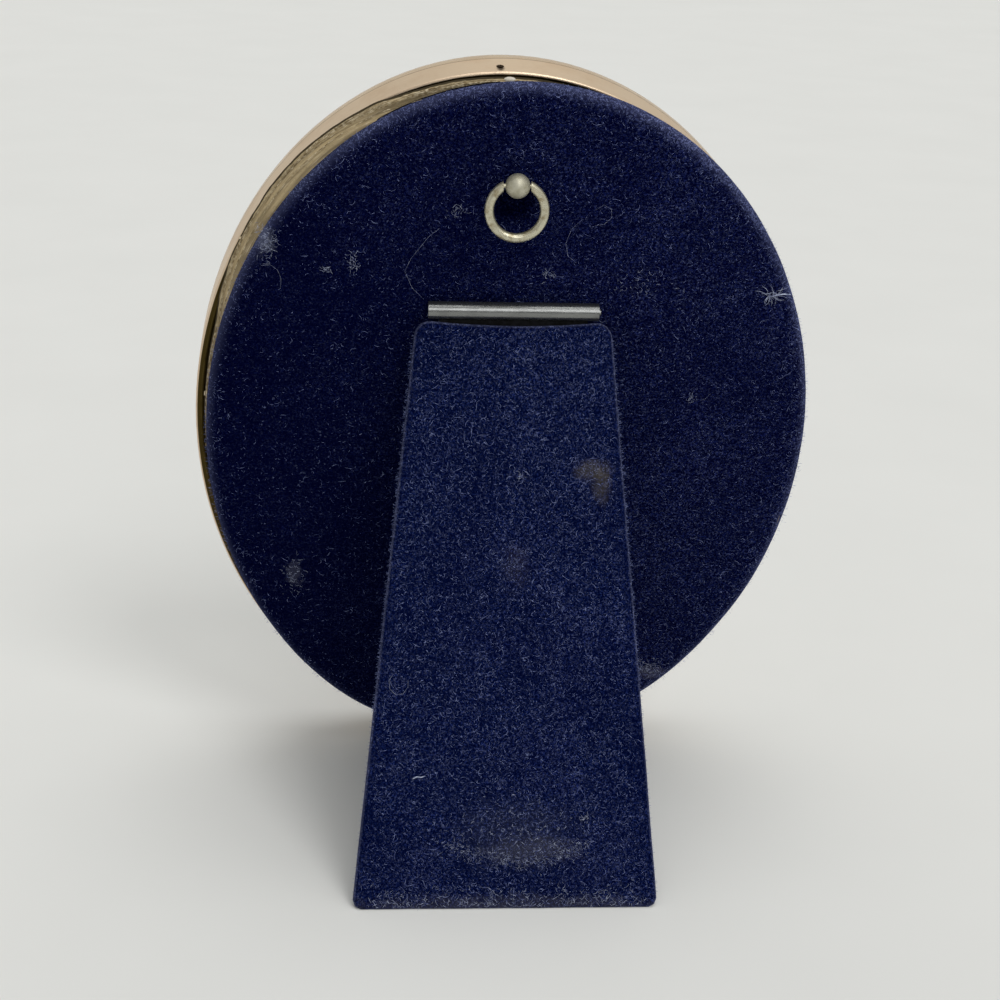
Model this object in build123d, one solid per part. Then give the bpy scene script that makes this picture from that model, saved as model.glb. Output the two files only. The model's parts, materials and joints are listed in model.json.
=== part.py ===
from build123d import *

import os
from math import asin, cos, degrees, hypot, radians, sin

# An oval picture frame that stands on its strut, in millimetres.
# Pieces are drawn on a bench: the frame lies face down, x to the right seen from behind,
# y straight up the back and z out of it, with z = 0 at the band's back edge.
# The rim and what it holds are turned a little on the bench, because the back sits askew in them.

# Driving dimensions of the rim
rim_width = 103.0
rim_height = 138.1
band_depth = 5.1
band_wall = 0.8
lip_width = 1.0
lip_depth = 1.2
lip_round = 0.3
lip_roll_share = 0.8
pin_hole_radius = 0.6
pin_hole_side = 0.7
pin_hole_depth = 2.1
rim_turn = 2.86

# Driving dimensions of the front moulding and its bead
moulding_width = 9.0
moulding_wall = 0.8
flange_depth = 0.5
dome_height = 2.3
bead_radius = 0.6
rebate_depth = 0.8

# Driving dimensions of the stack behind the moulding
glass_thickness = 1.6
card_thickness = 0.4
pad_thickness = 1.0
lining_thickness = 0.2
stack_clearance = 0.3
plug_clearance = 0.3
seat_gap = 0.6
seat_layer = 0.8
seat_inset = 0.7
seat_shift = 0.5
layer_step = 0.25
level_tolerance = 0.02

# Driving dimensions of the velvet-covered back, which sits a little to one side of the rim
back_thickness = 1.5
velvet_thickness = 0.5
cover_side_margin = 0.3
cover_end_margin = 1.5
cover_round = 1.0
cover_shift_x = 1.55
cover_shift_y = 0.62

# Driving dimensions of the hinge
hinge_side = 0.95
hinge_below_top = 38.6
barrel_length = 27.5
barrel_radius = 1.45
barrel_wall = 0.45
barrel_gap = 0.05
running_clearance = 0.05
curl_wall = 0.38
curl_fit = 0.02
pin_overhang = 0.35
stop_clearance = 1.0
tab_width = 5.0
tab_thickness = 0.5
tab_spread = 8.0
tab_bend = 4.0
clench_thickness = 0.4
slot_clearance = 0.1

# Driving dimensions of the strut
lean = 16.0
opening = 32.4
strut_gap = 1.6
strut_top_width = 31.6
strut_foot_width = 50.6
strut_top_round = 2.5
strut_foot_round = 1.6
strut_top_sag = 0.75
strut_inner_face = 1.2
strut_board_thickness = 1.7
strut_lining_thickness = 0.4
strut_velvet_round = 0.45
leaf_width = 24.0
leaf_thickness = 0.5
leaf_insert = 10.0
rivet_radius = 0.8
rivet_spread = 7.0
rivet_drop = 5.7
rivet_clearance = 0.03

# Driving dimensions of the hanging ring and its stud
stud_side = 0.3
stud_below_top = 15.6
stud_stand = 2.4
ball_radius = 1.93
cross_hole_radius = 0.4
shank_radius = 0.6
shank_clearance = 0.05
shank_overlap = 0.2
washer_radius = 2.2
washer_thickness = 0.4
peen_radius = 1.2
peen_thickness = 0.3
window_clearance = 0.5
ring_radius = 4.3
ring_wire_radius = 0.73
ring_drop = 3.8
ring_open_gap = 0.3
ring_near_gap = 0.12
spigot_length = 0.9
spigot_root = 0.15

# Half axes of the ovals
rim_a = rim_width / 2
rim_b = rim_height / 2
bore_a = rim_a - band_wall
bore_b = rim_b - band_wall
mouth_a = bore_a - lip_width
mouth_b = bore_b - lip_width
plug_inset = plug_clearance + abs(seat_shift)
cover_a = rim_a - cover_side_margin
cover_b = rim_b - cover_end_margin

# Heights of the hinge and the stud above the rim's middle
hinge_rise = rim_b - hinge_below_top
stud_rise = rim_b - stud_below_top

# Levels through the stack, from the glass to the velvet
glass_front = -(band_depth + rebate_depth)
glass_back = glass_front + glass_thickness
card_back = glass_back + card_thickness
pad_back = card_back + pad_thickness
lining_back = pad_back + lining_thickness
plug_layer = (seat_gap - lining_back) / 2
plug_middle = lining_back + plug_layer
seat_middle = seat_gap + seat_layer
seat_back = seat_middle + seat_layer
board_back = seat_back + back_thickness
velvet_back = board_back + velvet_thickness
bead_seat = glass_front - rebate_depth - moulding_wall / 2
washer_front = seat_back - washer_thickness

# Hinge axis and pivot of the ring, on the bench
hinge_level = velvet_back + barrel_gap + barrel_radius
hinge_axis = Pos(hinge_side, hinge_rise, hinge_level)
ring_pivot = Pos(stud_side, stud_rise, velvet_back + stud_stand)
barrel_bore = barrel_radius - barrel_wall
curl_radius = barrel_bore - running_clearance
pin_radius = curl_radius - curl_wall - curl_fit

# The frame stands on the lowest point of the turned band or of the velvet's rounded edge
rim_place = Rot(0, 0, rim_turn)
turned_height = hypot(rim_a * sin(radians(rim_turn)), rim_b * cos(radians(rim_turn)))
lean_sin = sin(radians(lean))
lean_cos = cos(radians(lean))
band_low = -(turned_height - lip_round) * lean_cos + lip_round * lean_sin - lip_round
cover_low_y = cover_shift_y - (cover_b - cover_round)
cover_low = cover_low_y * lean_cos - (velvet_back - cover_round) * lean_sin - cover_round
floor_level = min(band_low, cover_low)
stand = Plane(origin=(0, 0, -floor_level), x_dir=(-1, 0, 0), z_dir=(0, lean_cos, -lean_sin)).location

# The strut leans the other way, from the hinge axis down to the floor
strut_tilt = radians(opening - lean)
axis_height = hinge_rise * lean_cos - hinge_level * lean_sin - floor_level
strut_board_low = strut_lining_thickness - strut_inner_face
strut_board_high = strut_board_low + strut_board_thickness
strut_outer_face = strut_board_high + velvet_thickness
leaf_end = strut_gap + leaf_insert
strut_length = (axis_height + strut_outer_face * sin(strut_tilt)) / cos(strut_tilt)


def oval_plate(half_width, half_height, low, high, x=0.0, y=0.0):
    """A flat oval between two levels."""
    return Pos(x, y, low) * extrude(Ellipse(half_width, half_height), high - low)


def oval_ring(half_width, half_height, wall, low, high):
    """An upright oval wall between two levels."""
    outer = oval_plate(half_width, half_height, low, high)
    return outer - oval_plate(half_width - wall, half_height - wall, low, high)


def oval_sweep(section):
    """Carries a section drawn at the oval's right-hand end round the rim's outline."""
    return sweep(Plane.XZ * Pos(rim_a, 0) * section, path=Edge.make_ellipse(rim_a, rim_b))


def upright_tube(radius, low, high, x, y):
    """A round bar or hole along z between two levels."""
    return Pos(x, y, (low + high) / 2) * Cylinder(radius, high - low)


def cross_bar(radius, left, right):
    """A round bar along x between two places."""
    return Pos((left + right) / 2, 0, 0) * Rot(0, 90, 0) * Cylinder(radius, right - left)


def edges_at(shape, level):
    """The edges that lie flat at one level."""
    return shape.edges().filter_by_position(Axis.Z, level - level_tolerance, level + level_tolerance)


def make_front_moulding():
    """A stamped dome from the band's front edge in to the sight edge, which turns back to carry the glass."""
    seam = -band_depth
    shoulder = seam - flange_depth
    crest = shoulder - dome_height
    bead_start = moulding_width - 2 * bead_radius
    middle = bead_start / 2
    outside = Line((0, seam), (0, shoulder))
    outside += Spline((0, shoulder), (-middle, crest), (-bead_start, bead_seat), tangents=((0, -1), (-1, 1)))
    outside += Polyline((-bead_start, bead_seat), (-moulding_width, bead_seat), (-moulding_width, glass_front))
    turn = moulding_width - moulding_wall
    hollow = bead_seat + moulding_wall
    inside = Polyline((-moulding_width, glass_front), (-turn, glass_front), (-turn, hollow))
    inside += Line((-turn, hollow), (-bead_start + moulding_wall, hollow))
    inside += Spline(
        (-bead_start + moulding_wall, hollow),
        (-middle, crest + moulding_wall),
        (-moulding_wall, shoulder),
        tangents=((1, -1), (0, 1)),
    )
    inside += Polyline((-moulding_wall, shoulder), (-moulding_wall, seam), (0, seam))
    return oval_sweep(make_face(outside + inside))


def make_sight_bead():
    """A half-round wire on the moulding's flat inner edge."""
    half = Circle(bead_radius) & Pos(0, -bead_radius / 2) * Rectangle(2 * bead_radius, bead_radius)
    return oval_sweep(Pos(bead_radius - moulding_width, bead_seat) * half)


def make_side_band():
    """The band round the outside, with its rounded back edge and a pin hole near the top."""
    band = oval_ring(rim_a, rim_b, band_wall, -band_depth, 0)
    outer_edge = edges_at(band, 0).sort_by(SortBy.LENGTH)[-1]
    band = fillet(outer_edge, min(lip_round, band_wall / 2))
    hole = Pos(pin_hole_side, rim_b, -pin_hole_depth) * Rot(90, 0, 0) * Cylinder(pin_hole_radius, rim_b / 2)
    return band - hole


def make_back_lip():
    """The edge rolled inwards at the back of the band."""
    lip = oval_ring(bore_a, bore_b, lip_width, -lip_depth, 0)
    inner_edge = edges_at(lip, 0).sort_by(SortBy.LENGTH)[0]
    return fillet(inner_edge, min(lip_width, lip_depth) * lip_roll_share)


def stack_plate(front, back):
    """A loose plate in the rim, small enough to drop in through the lip."""
    return oval_plate(mouth_a - stack_clearance, mouth_b - stack_clearance, front, back)


def plug_plate(front, back):
    """A layer of the plug that the band holds."""
    return oval_plate(mouth_a - plug_inset, mouth_b - plug_inset, front, back, seat_shift)


def seat_plate(inset, front, back):
    """A tan layer that rests on the band and reaches nearly to its edge."""
    return oval_plate(rim_a - inset, rim_b - inset, front, back, seat_shift)


def tab_places():
    """The places of the hinge's tabs along x."""
    return (hinge_side - tab_spread, hinge_side + tab_spread)


def make_seat_board_outer():
    """The tan layer under the back board, with windows for the clenched tabs and the stud's end."""
    board = rim_place * seat_plate(seat_inset + layer_step, seat_middle, seat_back)
    window_height = tab_bend + tab_thickness + 2 * window_clearance
    window_y = hinge_rise + (tab_bend - tab_thickness) / 2 + tab_thickness / 2
    for x in tab_places():
        window = Box(tab_width + 2 * window_clearance, window_height, 2 * seat_layer)
        board -= Pos(x, window_y, seat_back - seat_layer / 2) * window
    return board - upright_tube(washer_radius + window_clearance, seat_middle, seat_back, stud_side, stud_rise)


def pierced(board, low, high):
    """A board of the back with its slots for the hinge's tabs and its hole for the stud."""
    for x in tab_places():
        slot = Box(tab_width + 2 * slot_clearance, tab_thickness + 2 * slot_clearance, 2 * (high - low))
        board -= Pos(x, hinge_rise, (low + high) / 2) * slot
    return board - upright_tube(shank_radius + shank_clearance, low, high, stud_side, stud_rise)


def cover_slab(inset, back, rounding):
    """The outline of the back or of its board, up to one level and rounded at that edge."""
    slab = oval_plate(cover_a - inset, cover_b - inset, seat_back, back, cover_shift_x, cover_shift_y)
    return fillet(edges_at(slab, back), rounding)


def make_back_board():
    """The board under the velvet."""
    board = cover_slab(velvet_thickness, board_back, cover_round - velvet_thickness)
    return pierced(board, seat_back, board_back)


def make_back_velvet():
    """Velvet drawn over the board and round its edge."""
    cover = cover_slab(0, velvet_back, cover_round)
    cover -= cover_slab(velvet_thickness, board_back, cover_round - velvet_thickness)
    return pierced(cover, seat_back, velvet_back)


def make_hinge_barrel():
    """A steel tube, slotted along its length for the strut's leaf, with tabs clenched through the back board."""
    half = barrel_length / 2
    tube = cross_bar(barrel_radius, -half, half) - cross_bar(barrel_bore, -half, half)
    leaf_angle = degrees(asin(leaf_thickness / 2 / barrel_bore)) + stop_clearance
    reach = 2 * barrel_radius
    angles = (-leaf_angle, opening / 2, opening + leaf_angle)
    rim_points = [(-reach * cos(radians(a)), reach * sin(radians(a))) for a in angles]
    sector = make_face(Polyline((0, 0), *rim_points, (0, 0)))
    slot = extrude(Plane.YZ * sector, barrel_length, both=True)
    barrel = tube - slot
    tab_top = barrel_radius - barrel_wall / 2
    tab_low = hinge_level - (seat_back - clench_thickness)
    for x in (-tab_spread, tab_spread):
        shank = Box(tab_width, tab_thickness, tab_low - tab_top)
        barrel += Pos(x, 0, -(tab_low + tab_top) / 2) * shank
        leg = Box(tab_width, tab_bend + tab_thickness, clench_thickness)
        barrel += Pos(x, tab_bend / 2, clench_thickness / 2 - tab_low) * leg
    return hinge_axis * barrel


def make_ring_stud():
    """A ball on a shank, peened over its washer behind the back board."""
    ball = Sphere(ball_radius) - cross_bar(cross_hole_radius, -ball_radius, ball_radius)
    pivot_level = velvet_back + stud_stand
    peen_front = washer_front - peen_thickness
    shank = upright_tube(shank_radius, washer_front, pivot_level - ball_radius + shank_overlap, stud_side, stud_rise)
    peen = upright_tube(peen_radius, peen_front, washer_front, stud_side, stud_rise)
    return ring_pivot * ball + shank + peen


def make_stud_washer():
    """The washer between the back board and the stud's peened end."""
    washer = upright_tube(washer_radius, washer_front, seat_back, stud_side, stud_rise)
    return washer - upright_tube(shank_radius + shank_clearance, washer_front, seat_back, stud_side, stud_rise)


def make_hanging_ring():
    """A split wire ring that hangs straight down, its thinned ends in the ball's cross hole."""
    wire = Pos(0, -ring_drop, 0) * Torus(ring_radius, ring_wire_radius)
    left = -(ball_radius + ring_open_gap)
    right = ball_radius + ring_near_gap
    gap_height = ring_radius + ring_wire_radius
    gap = Box(right - left, gap_height, 4 * ring_wire_radius)
    wire -= Pos((left + right) / 2, gap_height / 2 - ring_drop + ring_radius / 2, 0) * gap
    spigot_radius = cross_hole_radius - running_clearance
    ring = wire + cross_bar(spigot_radius, left - spigot_root, left + ring_open_gap + spigot_length)
    ring += cross_bar(spigot_radius, right - ring_near_gap - spigot_length, right + spigot_root)
    return ring_pivot * Rot(-lean, 0, 0) * ring


def strut_outline(inset=0.0):
    """The strut's tapered outline with rounded corners, hung below the hinge axis."""
    top = strut_top_width / 2
    foot = strut_foot_width / 2
    sides = Polyline((top, -strut_gap), (foot, -strut_length), (-foot, -strut_length), (-top, -strut_gap))
    arch = ThreePointArc((-top, -strut_gap), (0, -strut_gap - strut_top_sag), (top, -strut_gap))
    outline = make_face(sides + arch)
    corners = outline.vertices().sort_by(Axis.Y)
    outline = fillet(corners[:2], strut_foot_round)
    outline = fillet(outline.vertices().sort_by(Axis.Y)[-2:], strut_top_round)
    return offset(outline, -inset, kind=Kind.INTERSECTION) if inset else outline


def strut_slab(inset, low, high, lift, rounding=0.0):
    """A layer of the strut between two faces, cut off level with the floor or a little above it."""
    slab = Pos(0, 0, low) * extrude(strut_outline(inset), high - low)
    if rounding:
        slab = fillet(edges_at(slab, high), rounding)
    foot_y = (lift - axis_height) / cos(strut_tilt)
    ground = Plane(origin=(0, foot_y, 0), z_dir=(0, cos(strut_tilt), sin(strut_tilt)))
    return split(slab, bisect_by=ground, keep=Keep.TOP)


def leaf_slit():
    """The slit in the strut's top edge that takes the leaf."""
    slit = Box(leaf_width + 2 * slot_clearance, leaf_end + slot_clearance, leaf_thickness + 2 * slot_clearance)
    return Pos(0, -(leaf_end + slot_clearance) / 2, 0) * slit


def rivet_bars(radius):
    """The rivets through the strut board and the leaf, or their holes."""
    bars = []
    for x in (-rivet_spread, rivet_spread):
        bars.append(upright_tube(radius, strut_board_low, strut_board_high, x, -strut_gap - rivet_drop))
    return bars


def make_strut_board():
    """The board inside the strut."""
    board = strut_slab(velvet_thickness, strut_board_low, strut_board_high, velvet_thickness) - leaf_slit()
    for hole in rivet_bars(rivet_radius + rivet_clearance):
        board -= hole
    return board


def make_strut_velvet():
    """Velvet over the strut's outer face, drawn round its edges and under its foot."""
    cover = strut_slab(0, strut_board_low, strut_outer_face, 0, strut_velvet_round)
    return cover - strut_slab(velvet_thickness, strut_board_low, strut_board_high, velvet_thickness) - leaf_slit()


def make_strut_lining():
    """The lining on the strut's inner face."""
    return strut_slab(velvet_thickness / 2, -strut_inner_face, strut_board_low, velvet_thickness / 2)


def make_strut_leaf():
    """A steel leaf curled round the hinge pin at its top, flat inside the strut."""
    half = barrel_length / 2
    curl = cross_bar(curl_radius, -half, half) - cross_bar(pin_radius + curl_fit, -half, half)
    flat_top = curl_radius - curl_wall / 2
    flat = Pos(0, -(leaf_end + flat_top) / 2, 0) * Box(leaf_width, leaf_end - flat_top, leaf_thickness)
    leaf = curl + flat
    for hole in rivet_bars(rivet_radius + rivet_clearance):
        leaf -= hole
    return leaf


def make_hinge_pin():
    """The pin inside the leaf's curl, a little longer than the barrel."""
    half = barrel_length / 2
    return cross_bar(pin_radius, -half, half + pin_overhang)


rim_pieces = {
    "front_moulding": make_front_moulding(),
    "sight_bead": make_sight_bead(),
    "side_band": make_side_band(),
    "back_lip": make_back_lip(),
    "glass_pane": stack_plate(glass_front, glass_back),
    "picture_card": stack_plate(glass_back, card_back),
    "backing_card": stack_plate(card_back, pad_back),
    "inner_lining": plug_plate(pad_back, lining_back),
    "plug_board_front": plug_plate(lining_back, plug_middle),
    "plug_board_rear": plug_plate(plug_middle, seat_gap),
    "seat_board_inner": seat_plate(seat_inset, seat_gap, seat_middle),
}
back_pieces = {
    "seat_board_outer": make_seat_board_outer(),
    "back_board": make_back_board(),
    "back_velvet": make_back_velvet(),
    "hinge_barrel": make_hinge_barrel(),
    "ring_stud": make_ring_stud(),
    "stud_washer": make_stud_washer(),
    "hanging_ring": make_hanging_ring(),
}
strut_pieces = {
    "strut_board": make_strut_board(),
    "strut_velvet": make_strut_velvet(),
    "strut_lining": make_strut_lining(),
    "strut_leaf": make_strut_leaf(),
    "hinge_pin": make_hinge_pin(),
    "strut_rivets": Compound(children=rivet_bars(rivet_radius)),
}

# The strut is opened about the hinge axis, and the frame is stood up and centred over the origin
standing = {name: stand * rim_place * piece for name, piece in rim_pieces.items()}
standing.update({name: stand * piece for name, piece in back_pieces.items()})
strut_place = stand * hinge_axis * Rot(-opening, 0, 0)
standing.update({name: strut_place * piece for name, piece in strut_pieces.items()})
boxes = [piece.bounding_box() for piece in standing.values()]
centre_x = (min(box.min.X for box in boxes) + max(box.max.X for box in boxes)) / 2
centre_y = (min(box.min.Y for box in boxes) + max(box.max.Y for box in boxes)) / 2
centred = Pos(-centre_x, -centre_y, 0)

os.makedirs("parts", exist_ok=True)
for name, piece in standing.items():
    export_step(centred * piece, f"parts/{name}.step")
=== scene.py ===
import json
import math
import random

import bpy
from bpy.props import FloatProperty, FloatVectorProperty, IntProperty, PointerProperty
from mathutils import Matrix, Vector


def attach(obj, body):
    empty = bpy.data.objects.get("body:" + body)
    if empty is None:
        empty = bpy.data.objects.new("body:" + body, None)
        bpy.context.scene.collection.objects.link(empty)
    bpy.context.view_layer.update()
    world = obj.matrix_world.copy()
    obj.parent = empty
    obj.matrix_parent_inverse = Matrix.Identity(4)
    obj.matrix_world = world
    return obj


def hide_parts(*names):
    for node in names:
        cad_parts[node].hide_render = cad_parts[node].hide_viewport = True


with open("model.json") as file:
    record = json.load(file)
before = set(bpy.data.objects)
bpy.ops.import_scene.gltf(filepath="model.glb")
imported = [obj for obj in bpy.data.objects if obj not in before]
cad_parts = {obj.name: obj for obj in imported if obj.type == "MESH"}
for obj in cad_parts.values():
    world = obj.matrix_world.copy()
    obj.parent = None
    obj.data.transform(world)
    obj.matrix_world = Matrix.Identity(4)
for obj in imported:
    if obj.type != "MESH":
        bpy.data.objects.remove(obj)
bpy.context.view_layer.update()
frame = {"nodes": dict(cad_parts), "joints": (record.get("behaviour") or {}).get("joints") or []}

bl_info = {
    "name": "Oval picture frame",
    "version": (1, 0, 0),
    "blender": (4, 5, 0),
    "location": "View3D > Sidebar > Oval frame",
    "description": "Dresses an oval picture frame with its velvet back, strut, ring and metal rim",
    "category": "Object",
}

JOINTS = {joint["name"]: joint for joint in frame["joints"]}
MM = 0.001

# Places on the bench: x to the right seen from behind, y up the oval, z out of the back, in millimetres
RIM_A, RIM_B, RIM_TURN = 51.5, 69.05, math.radians(2.86)
BAND_DEPTH = 5.1
PANE_A, PANE_B = 49.4, 66.95
PANE_FRONT, PANE_BACK = -5.86, -4.34
COVER_A, COVER_B = 51.2, 67.55
COVER_X, COVER_Y = 1.55, 0.62
SEAT_FRONT, SEAT_MIDDLE, SEAT_BACK = 0.6, 1.4, 2.2
VELVET_LEVEL, SHOULDER_DROP = 4.2, 1.5
HINGE_X, HINGE_Y, HINGE_Z = 0.95, 30.45, 5.7
STRUT_TOP, STRUT_LOW, STRUT_FACE = -1.6, -98.36, 1.4
STRUT_TOP_HALF, STRUT_FOOT_HALF = 15.8, 25.3
STRUT_BACK_EDGE = -0.8
RING_PLACE, RING_CLEAR = (-1.25, 48.96), 3.7
SHOULDER_SWELL, BOTTOM_SWELL = 0.50, 0.85

NORMAL = Vector(JOINTS["back_slide"]["axis"])
LEAN = math.atan2(-NORMAL.z, NORMAL.y)
OPENING = math.radians(JOINTS["strut_fold"]["range_deg"][1])
TILT = OPENING - LEAN
HINGE = Vector(JOINTS["strut_fold"]["pos_m"])


def axes_matrix(x_axis, y_axis, origin):
    """A placing matrix from two axes and an origin in metres, for drawings in millimetres."""
    z_axis = x_axis.cross(y_axis)
    turn = Matrix((x_axis, y_axis, z_axis)).transposed().to_4x4()
    return Matrix.Translation(origin) @ turn @ Matrix.Scale(MM, 4)


BENCH_X = Vector((-1, 0, 0))
BENCH_Y = Vector((0, math.sin(LEAN), math.cos(LEAN)))
STRUT_Y = Vector((0, -math.sin(TILT), math.cos(TILT)))
STRUT = axes_matrix(BENCH_X, STRUT_Y, HINGE)
BENCH_ORIGIN = HINGE - (BENCH_X * HINGE_X + BENCH_Y * HINGE_Y + NORMAL * HINGE_Z) * MM
BENCH = axes_matrix(BENCH_X, BENCH_Y, BENCH_ORIGIN)
RIM = BENCH @ Matrix.Rotation(RIM_TURN, 4, "Z")
BACK = BENCH @ Matrix.Translation((COVER_X, COVER_Y, 0))


def colour_setting(name, description, default):
    """A colour that a user can change."""
    return FloatVectorProperty(name=name, description=description, subtype="COLOR", default=default)


class OvalFrameSizes(bpy.types.PropertyGroup):
    """Sizes of the soft and worn details."""

    velvet_thickness: FloatProperty(
        name="Velvet", description="Thickness of the velvet", default=0.00045, unit="LENGTH")
    shoulder: FloatProperty(
        name="Shoulder", description="Rounding of the velvet over the back board's edge", default=0.0030,
        unit="LENGTH")
    back_lint: IntProperty(name="Back lint", description="Loose fibres on the velvet back", default=7400)
    strut_lint: IntProperty(name="Strut lint", description="Loose fibres on the strut", default=8600)
    board_fibres: IntProperty(
        name="Board fibres", description="Frayed fibres along the boards' edges", default=1100)
    lens: FloatProperty(
        name="Lens", description="Focal length on a 36 mm sensor", default=66.199, unit="CAMERA")


class OvalFrameColours(bpy.types.PropertyGroup):
    """Colours of the finishes."""

    champagne: colour_setting("Champagne", "Satin metal of the band", (0.70, 0.555, 0.405))
    gilt: colour_setting("Gilt", "Gilt metal of the bead", (0.78, 0.58, 0.26))
    back_navy: colour_setting("Back velvet", "Pile of the back", (0.0002, 0.0006, 0.0140))
    strut_navy: colour_setting("Strut velvet", "Pile of the strut", (0.0002, 0.0016, 0.018))
    strawboard: colour_setting("Strawboard", "Tan boards", (0.46, 0.36, 0.205))
    nickel: colour_setting("Nickel", "Hanging ring", (0.58, 0.55, 0.42))
    ball: colour_setting("Ball", "Ball that holds the ring", (0.50, 0.48, 0.38))
    steel: colour_setting("Steel", "Hinge barrel", (0.22, 0.225, 0.22))


class OvalFrameSettings(bpy.types.PropertyGroup):
    """What a user would change."""

    sizes: PointerProperty(type=OvalFrameSizes)
    colours: PointerProperty(type=OvalFrameColours)


def settings():
    """The scene's own settings."""
    return bpy.context.scene.oval_frame


# Materials


def fill(tree, node, inputs):
    """Sets a node's inputs, each to a value or to another node's socket."""
    for name, value in inputs.items():
        if isinstance(value, bpy.types.NodeSocket):
            tree.links.new(value, node.inputs[name])
        else:
            node.inputs[name].default_value = value


def add(tree, kind, inputs=None, **options):
    """A node with its options and inputs set."""
    made = tree.nodes.new(kind)
    for name, value in options.items():
        setattr(made, name, value)
    fill(tree, made, inputs or {})
    return made


def math_node(tree, operation, first, second=0.0, clamp=False):
    """One sum on two values."""
    return add(tree, "ShaderNodeMath", {0: first, 1: second}, operation=operation, use_clamp=clamp).outputs[0]


def times(tree, first, second, clamp=False):
    """The product of two values."""
    return math_node(tree, "MULTIPLY", first, second, clamp)


def vector_node(tree, operation, first, second=(0.0, 0.0, 0.0)):
    """One sum on two vectors, which gives a value for a length or a dot product."""
    made = add(tree, "ShaderNodeVectorMath", {0: first, 1: second}, operation=operation)
    return made.outputs["Value" if operation in ("LENGTH", "DOT_PRODUCT") else "Vector"]


def span(tree, value, low, high, out_low=0.0, out_high=1.0):
    """A smooth step of a value between two limits."""
    limits = {"Value": value, "From Min": low, "From Max": high, "To Min": out_low, "To Max": out_high}
    return add(tree, "ShaderNodeMapRange", limits, interpolation_type="SMOOTHSTEP").outputs["Result"]


def mix(tree, share, first, second, blend="MIX"):
    """One colour laid over another, added to it or multiplied with it."""
    made = add(
        tree, "ShaderNodeMix", {"Factor": share, 6: first, 7: second},
        data_type="RGBA", clamp_factor=True, blend_type=blend)
    return made.outputs[2]


def noise(tree, vector, scale, detail, roughness=0.55, distortion=0.0):
    """A noise value on a vector."""
    values = {"Vector": vector, "Scale": scale, "Detail": detail, "Roughness": roughness}
    return add(tree, "ShaderNodeTexNoise", {**values, "Distortion": distortion}).outputs["Fac"]


def rgba(colour):
    """A colour with full cover."""
    return (*colour, 1.0)


def placed_coords(tree, placing):
    """Object coordinates turned into a drawing's own millimetres."""
    to_drawing = placing.inverted()
    place = add(tree, "ShaderNodeMapping", {
        "Vector": add(tree, "ShaderNodeTexCoord").outputs["Object"], "Location": to_drawing.translation,
        "Rotation": to_drawing.to_euler(), "Scale": to_drawing.to_scale()})
    return place.outputs["Vector"]


def new_group(name, inputs, outputs):
    """An empty shader group with named sockets."""
    tree = bpy.data.node_groups.new(name, "ShaderNodeTree")
    kinds = {"v": "NodeSocketVector", "f": "NodeSocketFloat", "c": "NodeSocketColor"}
    for socket, kind in inputs.items():
        tree.interface.new_socket(socket, in_out="INPUT", socket_type=kinds[kind])
    for socket, kind in outputs.items():
        tree.interface.new_socket(socket, in_out="OUTPUT", socket_type=kinds[kind])
    return tree, tree.nodes.new("NodeGroupInput").outputs, tree.nodes.new("NodeGroupOutput")


def use_group(tree, name, inputs):
    """A shared group placed in a material with its own values."""
    return add(tree, "ShaderNodeGroup", inputs, node_tree=shared_group(name))


def make_nap_group():
    """Velvet's pile: fine nap, curled fibres caught in it and broad brushed patches."""
    tree, given, out = new_group(
        "velvet_nap", {"Vector": "v", "Pile": "c", "Nap": "c", "Fibre": "c", "Fibres": "f", "Lay": "f"},
        {"Color": "c", "Light": "f", "Height": "f"})
    vector = given["Vector"]
    patch = noise(tree, vector, 0.05, 4.0, 0.6)
    nap = noise(tree, vector, 2.8, 3.0, 0.8)
    clumps = noise(tree, vector, 0.5, 3.0, 0.65)
    lay = times(tree, given["Lay"], span(tree, patch, 0.30, 0.70, 0.55, 1.0))
    thick = span(tree, clumps, 0.25, 0.72, 0.40, 1.0)
    lit_nap = times(tree, span(tree, nap, 0.47, 0.68), thick)
    lit_nap = times(tree, lit_nap, lay, True)
    colour = mix(tree, lit_nap, given["Pile"], given["Nap"])
    fibres = 0.0
    for scale, width, low in ((1.5, 0.040, 0.47), (2.1, 0.055, 0.48)):
        field = noise(tree, vector, scale, 1.0, 0.4, 1.2)
        line = math_node(tree, "ABSOLUTE", math_node(tree, "SUBTRACT", field, 0.5))
        line = span(tree, line, 0.0, width, 1.0, 0.0)
        broken = span(tree, noise(tree, vector, scale * 1.25, 2.0), low, low + 0.16)
        fibres = math_node(tree, "MAXIMUM", times(tree, line, broken), fibres)
    fibres = times(tree, fibres, span(tree, clumps, 0.28, 0.66, 0.30, 1.0))
    caught = times(tree, given["Fibres"], lay)
    share = times(tree, fibres, caught, True)
    colour = mix(tree, share, colour, given["Fibre"])
    light = math_node(tree, "ADD", times(tree, lit_nap, 0.4), share, True)
    height = math_node(tree, "ADD", nap, times(tree, fibres, 0.6))
    height = math_node(tree, "ADD", height, clumps)
    fill(tree, out, {"Color": colour, "Light": light, "Height": height})
    return tree


def make_spot_group():
    """A ragged spot round a place, for wear, stains and dust."""
    tree, given, out = new_group(
        "ragged_spot", {"Vector": "v", "Centre": "v", "Reach": "v", "Rag": "f"}, {"Mask": "f"})
    vector = given["Vector"]
    away = vector_node(tree, "SUBTRACT", vector, given["Centre"])
    reach = vector_node(tree, "LENGTH", vector_node(tree, "DIVIDE", away, given["Reach"]))
    ragged = math_node(tree, "SUBTRACT", noise(tree, vector, 0.55, 5.0, 0.75), 0.5)
    reach = math_node(tree, "ADD", reach, times(tree, ragged, given["Rag"]))
    fill(tree, out, {"Mask": span(tree, reach, 0.30, 1.1, 1.0, 0.0)})
    return tree


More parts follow.
